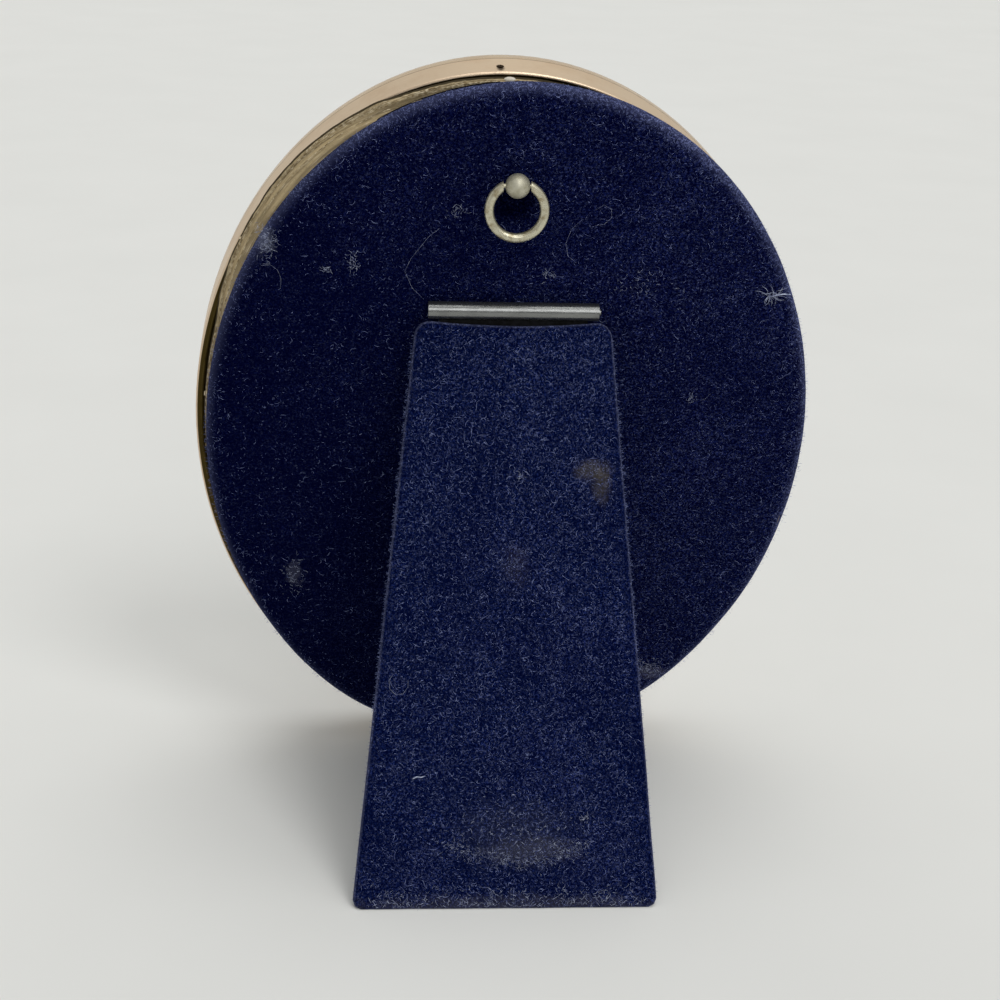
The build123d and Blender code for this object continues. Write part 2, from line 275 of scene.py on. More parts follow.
def make_brush_group():
    """Fine brushing along one direction, with cloudy tarnish over it."""
    tree, given, out = new_group(
        "brushed_metal",
        {"Vector": "v", "Along": "v", "Metal": "c", "Tarnish": "c", "Cover": "f", "Smooth": "f"},
        {"Color": "c", "Roughness": "f", "Height": "f"})
    vector = given["Vector"]
    grain = noise(tree, vector_node(tree, "MULTIPLY", vector, given["Along"]), 1.0, 4.0, 0.65)
    cloud = noise(tree, vector, 0.16, 4.0, 0.6)
    cover = times(tree, span(tree, cloud, 0.42, 0.72), given["Cover"])
    streaks = times(tree, span(tree, grain, 0.45, 0.8), 0.18)
    cover = math_node(tree, "ADD", cover, streaks, True)
    colour = mix(tree, cover, given["Metal"], given["Tarnish"])
    rough = math_node(tree, "ADD", given["Smooth"], times(tree, grain, 0.16))
    rough = math_node(tree, "ADD", rough, times(tree, cover, 0.15), True)
    fill(tree, out, {"Color": colour, "Roughness": rough, "Height": grain})
    return tree


def shared_group(name):
    """A shader group by name, built when it is first asked for."""
    makers = {"velvet_nap": make_nap_group, "ragged_spot": make_spot_group, "brushed_metal": make_brush_group}
    return bpy.data.node_groups.get(name) or makers[name]()


def new_material(name):
    """A material with its tree and shader."""
    made = bpy.data.materials.new(name)
    made.use_nodes = True
    return made, made.node_tree, made.node_tree.nodes["Principled BSDF"]


def bump(tree, shader, height, strength, distance):
    """Relief from a height, in metres."""
    made = add(tree, "ShaderNodeBump", {"Height": height, "Strength": strength, "Distance": distance})
    fill(tree, shader, {"Normal": made.outputs["Normal"]})


def spot_mask(tree, vector, centre, reach, rag):
    """How much of a ragged spot lies on each place."""
    values = {"Vector": vector, "Centre": centre, "Reach": reach, "Rag": rag}
    return use_group(tree, "ragged_spot", values).outputs["Mask"]


def spots_over(tree, vector, cloth, spots):
    """Dusty spots caught in velvet's fibres: centre, reach, raggedness and tint of each."""
    colour = cloth.outputs["Color"]
    caught = span(tree, cloth.outputs["Light"], 0.0, 0.6, 0.45, 1.0)
    for centre, reach, rag, tint in spots:
        share = times(tree, spot_mask(tree, vector, centre, reach, rag), caught)
        colour = mix(tree, share, colour, rgba(tint), "ADD")
    return colour


def velvet_material(name, placing, pile, nap, fibre, left_right_brightness, spots, turn, sheen_paint, shade_spot):
    """Velvet that grows brighter from one side to the other, dusty in places, with painted sheen where it
    turns down over an edge and painted shade in one place.
    """
    made, tree, shader = new_material(name)
    vector = placed_coords(tree, placing)
    cloth = use_group(tree, "velvet_nap", {
        "Vector": vector, "Pile": rgba(pile), "Nap": rgba(nap), "Fibre": rgba(fibre), "Fibres": 0.85})
    place = add(tree, "ShaderNodeSeparateXYZ", {0: vector}).outputs
    # The nap's brightness runs from the first value at the left edge to the second past the middle.
    fill(tree, cloth, {"Lay": span(tree, place["X"], -COVER_A, COVER_A / 2, *left_right_brightness)})
    colour = spots_over(tree, vector, cloth, spots)
    # Painted sheen: the pile is painted paler where the velvet bends down over an edge, in place of the sheen
    # that light gives there.
    turn_start, turn_end = turn
    sheen_edge = span(tree, place["Z"], turn_end, turn_start, 1.0, 0.0)
    lit = span(tree, cloth.outputs["Light"], 0.0, 0.5, 0.16, 1.0)
    colour = mix(tree, times(tree, sheen_edge, lit), colour, rgba(sheen_paint))
    # Painted shade: a darker spot multiplied into the pile where a nearby part's shade falls.
    centre, reach, rag, shade = shade_spot
    shade_share = spot_mask(tree, vector, centre, reach, rag)
    colour = mix(tree, shade_share, colour, rgba(shade), "MULTIPLY")
    fill(tree, shader, {
        "Base Color": colour, "Roughness": 1.0, "Specular IOR Level": 0.0, "Sheen Weight": 0.05,
        "Sheen Roughness": 0.3, "Sheen Tint": (0.36, 0.42, 0.80, 1.0)})
    bump(tree, shader, cloth.outputs["Height"], 0.6, 0.00025)
    return made


def back_velvet_material():
    """The back's dark velvet, dusty along its edge, with painted sheen over its shoulder and painted shade
    inside the hanging ring.
    """
    spots = [
        ((-40.6, 41.3, 3.6), (2.2, 3.0, 9.0), 1.6, (0.12, 0.13, 0.16)),
        ((-36.9, -26.6, 4.2), (1.6, 3.2, 9.0), 2.2, (0.055, 0.058, 0.075)),
        ((30.4, -51.2, 3.6), (3.4, 2.0, 9.0), 2.2, (0.06, 0.06, 0.075)),
    ]
    return velvet_material(
        "navy_velvet_back", BACK, pile=settings().colours.back_navy, nap=(0.0092, 0.0152, 0.088),
        fibre=(0.065, 0.080, 0.180), left_right_brightness=(0.42, 1.55), spots=spots,
        # The turn levels and the colour after them paint sheen over the back's shoulder.
        turn=(VELVET_LEVEL - 0.05, VELVET_LEVEL - 1.1), sheen_paint=(0.160, 0.185, 0.360),
        # The last spot is painted shade inside the hanging ring.
        shade_spot=((*RING_PLACE, VELVET_LEVEL), (4.9, 4.9, 9.0), 0.5, (0.22, 0.24, 0.34)))


def strut_velvet_material():
    """The strut's velvet, with a brown stain, a worn patch above the foot, a grey foot edge, painted sheen
    along its edges and painted shade at its top under the hinge barrel.
    """
    spots = [
        ((13.0, -25.4, 1.4), (3.6, 2.1, 9.0), 1.2, (0.060, 0.051, 0.016)),
        ((14.6, -28.0, 1.4), (1.9, 3.6, 9.0), 1.2, (0.054, 0.046, 0.014)),
        ((1.4, -85.6, 1.4), (12.0, 7.0, 9.0), 1.3, (0.012, 0.013, 0.013)),
        ((4.5, -88.4, 1.4), (9.5, 2.8, 9.0), 1.8, (0.034, 0.033, 0.030)),
        ((0.7, -41.0, 1.4), (2.8, 4.6, 9.0), 1.8, (0.016, 0.014, 0.009)),
        ((0.0, -98.6, 0.9), (34.0, 3.2, 9.0), 1.8, (0.040, 0.038, 0.034)),
    ]
    return velvet_material(
        "navy_velvet_strut", STRUT, pile=settings().colours.strut_navy, nap=(0.0172, 0.0295, 0.134),
        fibre=(0.095, 0.115, 0.240), left_right_brightness=(1.0, 1.1), spots=spots,
        # The turn levels and the colour after them paint sheen along the strut's edges.
        turn=(STRUT_FACE - 0.04, STRUT_FACE - 0.32), sheen_paint=(0.160, 0.180, 0.310),
        # The last spot is painted shade at the strut's top, under the hinge barrel.
        shade_spot=((0.0, STRUT_TOP, STRUT_FACE), (7.0, 1.2, 9.0), 0.6, (0.5, 0.5, 0.55)))


def metal_material(name, placing, along, metal, tarnish, cover, smooth, relief, bare=1.0):
    """A brushed and lightly tarnished metal, bare or under a dull film."""
    made, tree, shader = new_material(name)
    brushed = use_group(tree, "brushed_metal", {
        "Vector": placed_coords(tree, placing), "Along": along, "Metal": rgba(metal),
        "Tarnish": rgba(tarnish), "Cover": cover, "Smooth": smooth})
    fill(tree, shader, {
        "Base Color": brushed.outputs["Color"], "Roughness": brushed.outputs["Roughness"], "Metallic": bare})
    bump(tree, shader, brushed.outputs["Height"], relief, 0.00005)
    return made


def rim_reach(tree, vector):
    """How far out a place lies in the rim's oval, where 1 is the rim's edge."""
    return vector_node(tree, "LENGTH", vector_node(tree, "MULTIPLY", vector, (1 / RIM_A, 1 / RIM_B, 0.0)))


def band_material(metal):
    """The band's satin metal: browned inside, with a fine line before the moulding and a pin hole painted
    dark as its shade.
    """
    made = metal_material(
        "champagne_band", RIM, (0.05, 0.05, 9.0), metal, (0.50, 0.34, 0.21), 0.3, 0.34, 0.25)
    tree = made.node_tree
    shader = tree.nodes["Principled BSDF"]
    colour = shader.inputs["Base Color"].links[0].from_socket
    vector = placed_coords(tree, RIM)
    place = add(tree, "ShaderNodeSeparateXYZ", {0: vector}).outputs
    wall_out, wall_in = 1 - 0.30 / RIM_B, 1 - 0.45 / RIM_B
    inside = span(tree, rim_reach(tree, vector), wall_in, wall_out, 1.0, 0.0)
    colour = mix(tree, inside, colour, (0.055, 0.038, 0.010, 1.0))
    near = math_node(tree, "ABSOLUTE", math_node(tree, "ADD", place["Z"], BAND_DEPTH - 0.12))
    joint = span(tree, near, 0.03, 0.14, 0.65, 0.0)
    colour = mix(tree, joint, colour, (0.16, 0.10, 0.05, 1.0))
    # Painted shade: the pin hole is only a dark spot, in place of the shade inside a hole.
    hole_shade = spot_mask(tree, vector, (0.75, RIM_B, -1.45), (0.75, 9.0, 1.15), 0.6)
    fill(tree, shader, {"Base Color": mix(tree, hole_shade, colour, (0.06, 0.035, 0.015, 1.0))})
    return made


def board_material(name, tan, pale):
    """Strawboard: strata that run round its edge, pale torn ridges and a painted shadow that darkens its
    front edge.
    """
    made, tree, shader = new_material(name)
    vector = placed_coords(tree, RIM)
    place = add(tree, "ShaderNodeSeparateXYZ", {0: vector}).outputs
    across = times(tree, rim_reach(tree, vector), 160.0)
    angle = math_node(tree, "ARCTAN2", place["Y"], place["X"])
    along = times(tree, angle, 9.0)
    level = times(tree, place["Z"], 4.5)
    strata = add(tree, "ShaderNodeCombineXYZ", {0: across, 1: along, 2: level}).outputs[0]
    layers = noise(tree, strata, 0.55, 3.0, 0.6)
    fibres = noise(tree, strata, 1.5, 4.0, 0.7)
    grain = noise(tree, vector, 2.2, 3.0, 0.7)
    colour = mix(tree, span(tree, layers, 0.36, 0.64), rgba([c * 0.55 for c in tan]), rgba(tan))
    colour = mix(tree, span(tree, fibres, 0.52, 0.72, 0.0, 0.7), colour, rgba(pale))
    colour = mix(tree, span(tree, grain, 0.5, 0.75, 0.0, 0.45), colour, rgba((0.20, 0.145, 0.075)))
    # Painted shadow: the boards' front edge is darkened in place of the shadow between the boards and the
    # rim.
    painted_gap_shadow = span(tree, place["Z"], SEAT_FRONT + 0.28, SEAT_FRONT + 0.42, 0.92, 0.0)
    colour = mix(tree, painted_gap_shadow, colour, rgba((0.020, 0.014, 0.006)))
    fill(tree, shader, {"Base Color": colour, "Roughness": 0.95, "Specular IOR Level": 0.15})
    bump(tree, shader, fibres, 0.7, 0.0003)
    return made


def paper_material(name, placing, paper, mark, rough):
    """Card or paper with faint fibres and age."""
    made, tree, shader = new_material(name)
    vector = placed_coords(tree, placing)
    fibre = noise(tree, vector, 2.5, 4.0, 0.7)
    age = noise(tree, vector, 0.05, 4.0, 0.6)
    colour = mix(tree, span(tree, age, 0.45, 0.8, 0.0, 0.5), rgba(paper), rgba(mark))
    colour = mix(tree, span(tree, fibre, 0.5, 0.8, 0.0, 0.25), colour, rgba(mark))
    fill(tree, shader, {"Base Color": colour, "Roughness": rough})
    bump(tree, shader, fibre, 0.3, 0.0001)
    return made


def glass_material():
    """Clear picture glass with a trace of smears, which lets the lamps' light through."""
    made, tree, shader = new_material("picture_glass")
    smear = noise(tree, placed_coords(tree, BENCH), 0.08, 5.0, 0.7, 0.6)
    fill(tree, shader, {
        "Base Color": (0.98, 0.985, 0.98, 1.0), "Roughness": span(tree, smear, 0.45, 0.8, 0.01, 0.05),
        "Transmission Weight": 1.0, "IOR": 1.5})
    lamp_ray = add(tree, "ShaderNodeLightPath").outputs["Is Shadow Ray"]
    clear = add(tree, "ShaderNodeBsdfTransparent").outputs[0]
    both = add(tree, "ShaderNodeMixShader", {0: lamp_ray, 1: shader.outputs[0], 2: clear})
    fill(tree, tree.nodes["Material Output"], {"Surface": both.outputs[0]})
    return made


def matt_material(name, placing, colour, dark):
    """A dull finish that varies a little from place to place, for fibres and for very dark painted shade on
    the hinge leaf and under the velvet's edge.
    """
    made, tree, shader = new_material(name)
    vary = span(tree, noise(tree, placed_coords(tree, placing), 1.6, 2.0), 0.36, 0.66)
    varied = mix(tree, vary, rgba(dark), rgba(colour))
    fill(tree, shader, {"Base Color": varied, "Roughness": 0.9, "Specular IOR Level": 0.1})
    return made


def glue_material():
    """A dried white drop of glue."""
    made, tree, shader = new_material("dried_glue")
    vary = span(tree, noise(tree, placed_coords(tree, BENCH), 1.5, 3.0), 0.3, 0.7)
    white = mix(tree, vary, (0.46, 0.42, 0.34, 1), (0.62, 0.58, 0.50, 1))
    fill(tree, shader, {"Base Color": white, "Roughness": 0.5})
    return made


def dress(node, material):
    """Gives a node of the frame its finish."""
    slots = frame["nodes"][node].data.materials
    slots.clear()
    slots.append(material)


# Modelling


def deselect():
    """Leaves edit mode and selects nothing."""
    if bpy.context.object and bpy.context.object.mode != "OBJECT":
        bpy.ops.object.mode_set(mode="OBJECT")
    bpy.ops.object.select_all(action="DESELECT")


def begin(name):
    """Names the primitive just added."""
    made = bpy.context.object
    made.name = name
    made.data.name = name
    return made


def edit(made):
    """Opens a piece in edit mode."""
    bpy.context.view_layer.objects.active = made
    made.select_set(True)
    bpy.ops.object.mode_set(mode="EDIT")


def leave():
    """Closes edit mode."""
    bpy.ops.object.mode_set(mode="OBJECT")


def apply_modifier(made, kind, **options):
    """Adds a modifier with its options and applies it."""
    modifier = made.modifiers.new(kind.title(), kind)
    for name, value in options.items():
        setattr(modifier, name, value)
    bpy.context.view_layer.objects.active = made
    bpy.ops.object.modifier_apply(modifier=modifier.name)


def put_in_place(made, placing):
    """Moves a drawing in millimetres to its place, and leaves its object at the origin."""
    made.matrix_world = placing
    deselect()
    made.select_set(True)
    bpy.context.view_layer.objects.active = made
    bpy.ops.object.transform_apply(location=True, rotation=True, scale=True)


def level_foot(made):
    """Presses a foot edge down level with what it stands on."""
    for vertex in made.data.vertices:
        vertex.co.z = max(vertex.co.z, 0.0)


def face_outwards():
    """Turns all faces of the piece in edit mode outwards."""
    bpy.ops.mesh.select_all(action="SELECT")
    bpy.ops.mesh.normals_make_consistent(inside=False)


def round_plate(name, corners, levels, depth):
    """A plate of radius 1, with its edge cut into levels."""
    deselect()
    bpy.ops.mesh.primitive_circle_add(vertices=corners, radius=1.0, fill_type="NGON", location=(0, 0, 0))
    made = begin(name)
    edit(made)
    for _ in range(levels):
        bpy.ops.mesh.extrude_region_move(TRANSFORM_OT_translate={"value": (0, 0, depth / levels)})
    face_outwards()
    leave()
    return made


def finish_cover(made, placing, name, size, strength):
    """Makes a cover a little uneven, gives it the velvet's thickness and puts it in place."""
    edit(made)
    face_outwards()
    leave()
    waves = bpy.data.textures.new(name, "CLOUDS")
    waves.noise_scale = size
    apply_modifier(made, "DISPLACE", texture=waves, strength=strength, mid_level=0.5, texture_coords="LOCAL")
    apply_modifier(made, "SOLIDIFY", thickness=settings().sizes.velvet_thickness / MM, offset=-1.0)
    bpy.ops.object.shade_smooth()
    put_in_place(made, placing)


def open_edges(made):
    """A piece's edges that only one face uses."""
    uses = {}
    for face in made.data.polygons:
        for key in face.edge_keys:
            uses[key] = uses.get(key, 0) + 1
    return [key for key, count in uses.items() if count == 1]


def outline_order(made):
    """The corners of a piece's open edge, in order round it."""
    beside = {}
    for first, second in open_edges(made):
        beside.setdefault(first, []).append(second)
        beside.setdefault(second, []).append(first)
    start = min(beside)
    order = [start, beside[start][0]]
    while True:
        ahead = [v for v in beside[order[-1]] if v != order[-2]][0]
        if ahead == start:
            return order
        order.append(ahead)


def outward(points):
    """Flat outward directions at the corners of a closed outline."""
    turn = sum(a.x * b.y - b.x * a.y for a, b in zip(points, points[1:] + points[:1]))
    found = []
    for before, after in zip(points[-1:] + points[:-1], points[1:] + points[:1]):
        along = after - before
        side = Vector((along.y, -along.x, 0)).normalized()
        found.append(side if turn > 0 else -side)
    return found


def rounded(point):
    """A place as a key that survives small errors."""
    return tuple(round(c, 6) for c in point)


def draw_over_edge(made, steps):
    """Extrudes a cover's open edge outwards and down, step by step, over what it is drawn on."""
    for out, drop in steps:
        order = outline_order(made)
        corners = [made.data.vertices[v].co.copy() for v in order]
        at = {rounded(corner): side for corner, side in zip(corners, outward(corners))}
        edit(made)
        bpy.ops.mesh.select_mode(type="EDGE")
        bpy.ops.mesh.select_all(action="DESELECT")
        leave()
        rim, open_keys = set(order), set(open_edges(made))
        for edge in made.data.edges:
            edge.select = edge.key in open_keys
        edit(made)
        bpy.ops.mesh.extrude_edges_move()
        leave()
        for vertex in made.data.vertices:
            if vertex.select and vertex.index not in rim:
                vertex.co += at[rounded(vertex.co)] * out + Vector((0, 0, -drop))


def shoulder_steps(out, drop, fall, count=7):
    """Steps of a rounded shoulder and the straight fall below it."""
    angles = [math.pi / 2 * i / count for i in range(count + 1)]
    steps = []
    for a, b in zip(angles, angles[1:]):
        steps.append((out * (math.sin(b) - math.sin(a)), drop * (math.cos(a) - math.cos(b))))
    return steps + [(0.0, fall / 3)] * 3


def strands_mesh(name, strands, placing, material):
    """One mesh of fine strands, each a run of points with a thickness, in millimetres."""
    deselect()
    curve = bpy.data.curves.new(name, "CURVE")
    curve.dimensions = "3D"
    curve.bevel_depth = 1.0
    curve.bevel_resolution = 0
    for points, radius in strands:
        spline = curve.splines.new("POLY")
        spline.points.add(len(points) - 1)
        for place, point in enumerate(points):
            spline.points[place].co = (*point, 1.0)
            spline.points[place].radius = radius * (0.55 if place in (0, len(points) - 1) else 1.0)
    made = bpy.data.objects.new(name, curve)
    bpy.context.collection.objects.link(made)
    made.select_set(True)
    bpy.context.view_layer.objects.active = made
    bpy.ops.object.convert(target="MESH")
    made = bpy.context.object
    put_in_place(made, placing)
    made.data.materials.clear()
    made.data.materials.append(material)
    return made


def curl(rng, start, length, bend, lift, level, count=4):
    """A loose fibre lying on the pile: a wandering run of points."""
    points = []
    heading = rng.uniform(0, 2 * math.pi)
    turn = rng.uniform(-bend, bend)
    x, y = start
    for i in range(count):
        rise = lift * math.sin(math.pi * i / (count - 1)) * rng.uniform(0.5, 1.0)
        points.append((x, y, level + rise))
        heading += turn + rng.uniform(-0.4, 0.4)
        x += math.cos(heading) * length / (count - 1)
        y += math.sin(heading) * length / (count - 1)
    return points


def lint_strand(rng, start, level):
    """One blue fibre of the pile's own lint, short or long."""
    if rng.random() < 0.9:
        points = curl(rng, start, rng.uniform(0.16, 0.55), 1.0, 0.06, level, 3)
    else:
        points = curl(rng, start, rng.uniform(0.6, 1.5), 0.7, 0.08, level, 5)
    return points, rng.uniform(0.010, 0.025)


def lint_tuft(rng, centre, spread, count, level):
    """A pinch of pale fluff caught in the pile."""
    strands = []
    for _ in range(count):
        start = (centre[0] + rng.gauss(0, spread[0]), centre[1] + rng.gauss(0, spread[1]))
        points = curl(rng, start, rng.uniform(0.3, 1.0), 1.3, 0.15, level)
        strands.append((points, rng.uniform(0.012, 0.03)))
    return strands


def fuzz(rng, start, side, level, length):
    """A short fibre that stands out from velvet's edge."""
    lean = rng.uniform(-0.8, 0.8)
    run = Vector((side.x - side.y * lean, side.y + side.x * lean, rng.uniform(-0.5, 0.5)))
    run = run.normalized() * length
    bow = Vector((-side.y, side.x, 0)) * length * rng.uniform(-0.25, 0.25)
    root = Vector((start[0], start[1], level))
    points = [tuple(root - run * 0.2), tuple(root + run * 0.5 + bow), tuple(root + run)]
    return points, rng.uniform(0.010, 0.022)


# How far the hand-cut boards stay inside the rim, by the angle round it
BOARD_GAPS = (
    (0, 0.3), (45, 0.4), (85, 0.45), (100, 0.3), (106, 0.15), (111, -0.4), (119, -0.58), (126, -0.7),
    (132, -0.55), (137, -0.22), (145, 0.05), (150, 0.5), (158, 1.4), (180, 1.5), (225, 1.2), (270, 0.9),
    (315, 0.5), (360, 0.3),
)
# Loose crumbs of board: the angle round the rim, the length and the thickness
CRUMBS = ((142.0, 0.7, 0.30), (169.0, 0.9, 0.30), (178.0, 0.5, 0.26))
# The drop of glue: half its size each way, and its place on the bench
GLUE_SIZE, GLUE_PLACE = (0.95, 0.42, 0.5), (-1.4, 68.25, 0.9)


def board_gap(angle):
    """The boards' distance inside the rim at one angle, smoothly between the measured ones."""
    turn = math.degrees(angle) % 360
    for (before, near), (after, far) in zip(BOARD_GAPS, BOARD_GAPS[1:]):
        if before <= turn <= after:
            share = (turn - before) / (after - before)
            return near + (far - near) * (3 - 2 * share) * share ** 2
    raise ValueError("angle outside the circle")


def swell(angle):
    """How far the velvet's edge swells past its oval, at one shoulder and along the bottom."""
    shoulder = SHOULDER_SWELL * max(0.0, math.cos(angle - math.radians(115))) ** 3
    low = min(1.0, max(0.0, (-math.sin(angle) - 0.55) / 0.33))
    return shoulder + BOTTOM_SWELL * (3 - 2 * low) * low ** 2


def cover_edge(angle, out):
    """A place beside the velvet's oval, so far out from it."""
    return (COVER_A + out) * math.cos(angle), (COVER_B + out) * math.sin(angle)


def board_edge(angle, inset):
    """A place on the boards' edge, in the rim's own drawing."""
    side = Vector((math.cos(angle) / RIM_A, math.sin(angle) / RIM_B, 0)).normalized()
    return Vector((RIM_A * math.cos(angle), RIM_B * math.sin(angle), 0)) - side * (board_gap(angle) + inset)


def seat_board_piece(name, inset, groove, front, back, seed, replaced, material):
    """A strawboard layer with a ragged edge, cut back in one place, in place of its node."""
    corners, levels = 480, 5
    groove_turn, groove_width = 106, 11
    made = round_plate(name, corners, levels, back - front)
    rng = random.Random(seed)
    waves = []
    for low, high, size in ((3, 9, 0.03), (15, 30, 0.018), (50, 80, 0.012)):
        waves.append((rng.randint(low, high), rng.uniform(0, 6.3), size))
    steps = [-0.10 * level + rng.uniform(-0.06, 0.06) for level in range(levels + 1)]
    for vertex in made.data.vertices:
        angle = math.atan2(vertex.co.y, vertex.co.x)
        level = round(vertex.co.z * levels / (back - front))
        sway = sum(size * math.sin(count * angle + phase) for count, phase, size in waves)
        cut = groove * math.exp(-((math.degrees(angle) - groove_turn) / groove_width) ** 2)
        torn = rng.uniform(-0.02, 0.02) * (1 + level)
        edge = board_edge(angle, inset + cut - sway - steps[level] + torn)
        vertex.co = Vector((edge.x, edge.y, vertex.co.z + front))
    put_in_place(made, RIM)
    made.data.materials.append(material)
    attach(made, "back")
    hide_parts(replaced)


def frayed_strands(rng):
    """Frayed fibres along the boards' edges, and a few crumbs."""
    strands = []
    for _ in range(settings().sizes.board_fibres):
        angle = rng.uniform(0, 2 * math.pi)
        level, inset = rng.choice(((SEAT_FRONT + 0.60, 0.30), (SEAT_MIDDLE, 0.45), (SEAT_MIDDLE, 0.65),
                                   (SEAT_MIDDLE, 0.85), (SEAT_BACK, 1.2)))
        run = rng.uniform(0.02, 0.09) * rng.choice((-1, 1))
        points = []
        for i in range(4):
            edge = board_edge(angle + run * i / 3, inset - rng.uniform(-0.02, 0.10))
            points.append((edge.x, edge.y, level + rng.uniform(-0.06, 0.08)))
        strands.append((points, rng.uniform(0.018, 0.05)))
    for turn, length, radius in CRUMBS:
        angle = math.radians(turn)
        half = length / RIM_B / 2
        ends = (board_edge(angle - half, 0.1), board_edge(angle + half, 0.1))
        strands.append(([(edge.x, edge.y, SEAT_FRONT + 0.3) for edge in ends], radius))
    return strands


def shadow_line_strand(rng):
    """A very dark strand along the velvet's edge at one shoulder, a painted shadow under the velvet's
    overhang.
    """
    points = []
    for place in range(14):
        angle = math.radians(95 + 2 * place)
        out = swell(angle) + 0.02 + rng.uniform(-0.05, 0.05)
        points.append((*cover_edge(angle, out), SEAT_BACK - 0.2))
    return points, 0.14


class OVALFRAME_OT_rim(bpy.types.Operator):
    """Finishes the metal rim."""

    bl_idname = "ovalframe.rim"
    bl_label = "Rim finishes"

    def execute(self, context):
        colours = settings().colours
        dress("side_band", band_material(colours.champagne))
        dress("front_moulding", metal_material(
            "champagne_moulding", RIM, (0.25, 0.25, 4.0), colours.champagne, (0.45, 0.30, 0.18),
            0.2, 0.18, 0.15))
        dress("sight_bead", metal_material(
            "gilt_bead", RIM, (0.5, 0.5, 2.0), colours.gilt, (0.40, 0.26, 0.10), 0.2, 0.16, 0.1))
        dress("back_lip", metal_material(
            "browned_lip", RIM, (0.4, 0.4, 6.0), (0.075, 0.052, 0.014), (0.030, 0.020, 0.006),
            0.8, 0.36, 0.2))
        return {"FINISHED"}


class OVALFRAME_OT_picture(bpy.types.Operator):
    """Makes the clear glass, and finishes the blank card and the linings."""

    bl_idname = "ovalframe.picture"
    bl_label = "Picture and linings"

    def execute(self, context):
        pane = round_plate("clear_pane", 256, 1, PANE_BACK - PANE_FRONT)
        for vertex in pane.data.vertices:
            vertex.co = (vertex.co.x * PANE_A, vertex.co.y * PANE_B, vertex.co.z + PANE_FRONT)
        put_in_place(pane, RIM)
        pane.data.materials.append(glass_material())
        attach(pane, "frame")
        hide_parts("glass_pane")
        blue, dark_blue = (0.020, 0.026, 0.095), (0.010, 0.012, 0.045)
        for node, name, placing, paper, mark, rough in (
            ("picture_card", "cream_card", BENCH, (0.72, 0.65, 0.52), (0.58, 0.49, 0.35), 0.9),
            ("backing_card", "grey_card", BENCH, (0.32, 0.29, 0.25), (0.22, 0.19, 0.16), 0.95),
            ("inner_lining", "blue_paper", BENCH, blue, dark_blue, 0.85),
            ("strut_lining", "blue_strut_paper", STRUT, blue, dark_blue, 0.85),
        ):
            dress(node, paper_material(name, placing, paper, mark, rough))
        return {"FINISHED"}


class OVALFRAME_OT_boards(bpy.types.Operator):
    """Makes the strawboards of the back, with their ragged edges, frayed fibres and a drop of glue."""

    bl_idname = "ovalframe.boards"
    bl_label = "Strawboards"

    def execute(self, context):
        board = board_material("strawboard", settings().colours.strawboard, (0.66, 0.55, 0.38))
        for node in ("plug_board_front", "plug_board_rear", "back_board", "strut_board"):
            dress(node, board)
        layer_step, split = 0.75, 0.04
        for replaced, inset, groove, front, back, seed in (
            ("seat_board_inner", 0.0, 0.0, SEAT_FRONT, SEAT_MIDDLE - split, 11),
            ("seat_board_outer", layer_step, 1.0, SEAT_MIDDLE + split, SEAT_BACK, 23),
        ):
            seat_board_piece(replaced + "_ragged", inset, groove, front, back, seed, replaced, board)
        rng = random.Random(5)
        straw = matt_material("straw_fibre", RIM, (0.66, 0.57, 0.40), (0.20, 0.145, 0.075))
        fray = strands_mesh("board_fray", frayed_strands(rng), RIM, straw)
        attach(fray, "back")
        # A very dark strand along the velvet's edge is painted shadow.
        dark = matt_material("painted_shadow_black", BACK, (0.006, 0.006, 0.008), (0.002, 0.002, 0.003))
        shadow_line = strands_mesh("velvet_edge_shadow", [shadow_line_strand(rng)], BACK, dark)
        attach(shadow_line, "back")
        deselect()
        bpy.ops.mesh.primitive_ico_sphere_add(subdivisions=4, radius=1.0, location=(0, 0, 0))
        drop = begin("glue_drop")
        edit(drop)
        bpy.ops.transform.vertex_random(offset=0.08, seed=4)
        bpy.ops.mesh.vertices_smooth(factor=0.6, repeat=3)
        bpy.ops.transform.resize(value=GLUE_SIZE)
        bpy.ops.transform.translate(value=GLUE_PLACE)
        leave()
        bpy.ops.object.shade_smooth()
        put_in_place(drop, BENCH)
        drop.data.materials.append(glue_material())
        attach(drop, "back")
        return {"FINISHED"}


class OVALFRAME_OT_back_velvet(bpy.types.Operator):
    """Draws the velvet over the back board."""

    bl_idname = "ovalframe.back_velvet"
    bl_label = "Back velvet"

    def execute(self, context):
        shoulder = settings().sizes.shoulder / MM
        corners, rings = 288, 24
        deselect()
        bpy.ops.mesh.primitive_circle_add(
            vertices=corners, radius=1.0, fill_type="NOTHING", location=(0, 0, 0))
        made = begin("back_velvet_cover")
        made.scale = (COVER_A - shoulder, COVER_B - shoulder, 1.0)
        bpy.ops.object.transform_apply(location=True, rotation=True, scale=True)
        edit(made)
        for ring in range(rings - 1, 0, -1):
            bpy.ops.mesh.extrude_edges_move()
            bpy.ops.transform.resize(value=(ring / (ring + 1), ring / (ring + 1), 1.0))
        bpy.ops.mesh.edge_face_add()
        bpy.ops.mesh.poke()
        leave()
        fall = VELVET_LEVEL - SEAT_BACK - SHOULDER_DROP + 0.25
        draw_over_edge(made, shoulder_steps(shoulder, SHOULDER_DROP, fall))
        for vertex in made.data.vertices:
            angle = math.atan2(vertex.co.y / COVER_B, vertex.co.x / COVER_A)
            reach = math.hypot(vertex.co.x / COVER_A, vertex.co.y / COVER_B)
            out = swell(angle) * reach ** 12
            vertex.co += Vector((math.cos(angle) * out, math.sin(angle) * out, VELVET_LEVEL))
        finish_cover(made, BACK, "velvet_unevenness", 14.0, 0.22)
        made.data.materials.append(back_velvet_material())
        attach(made, "back")
        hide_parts("back_velvet")
        return {"FINISHED"}


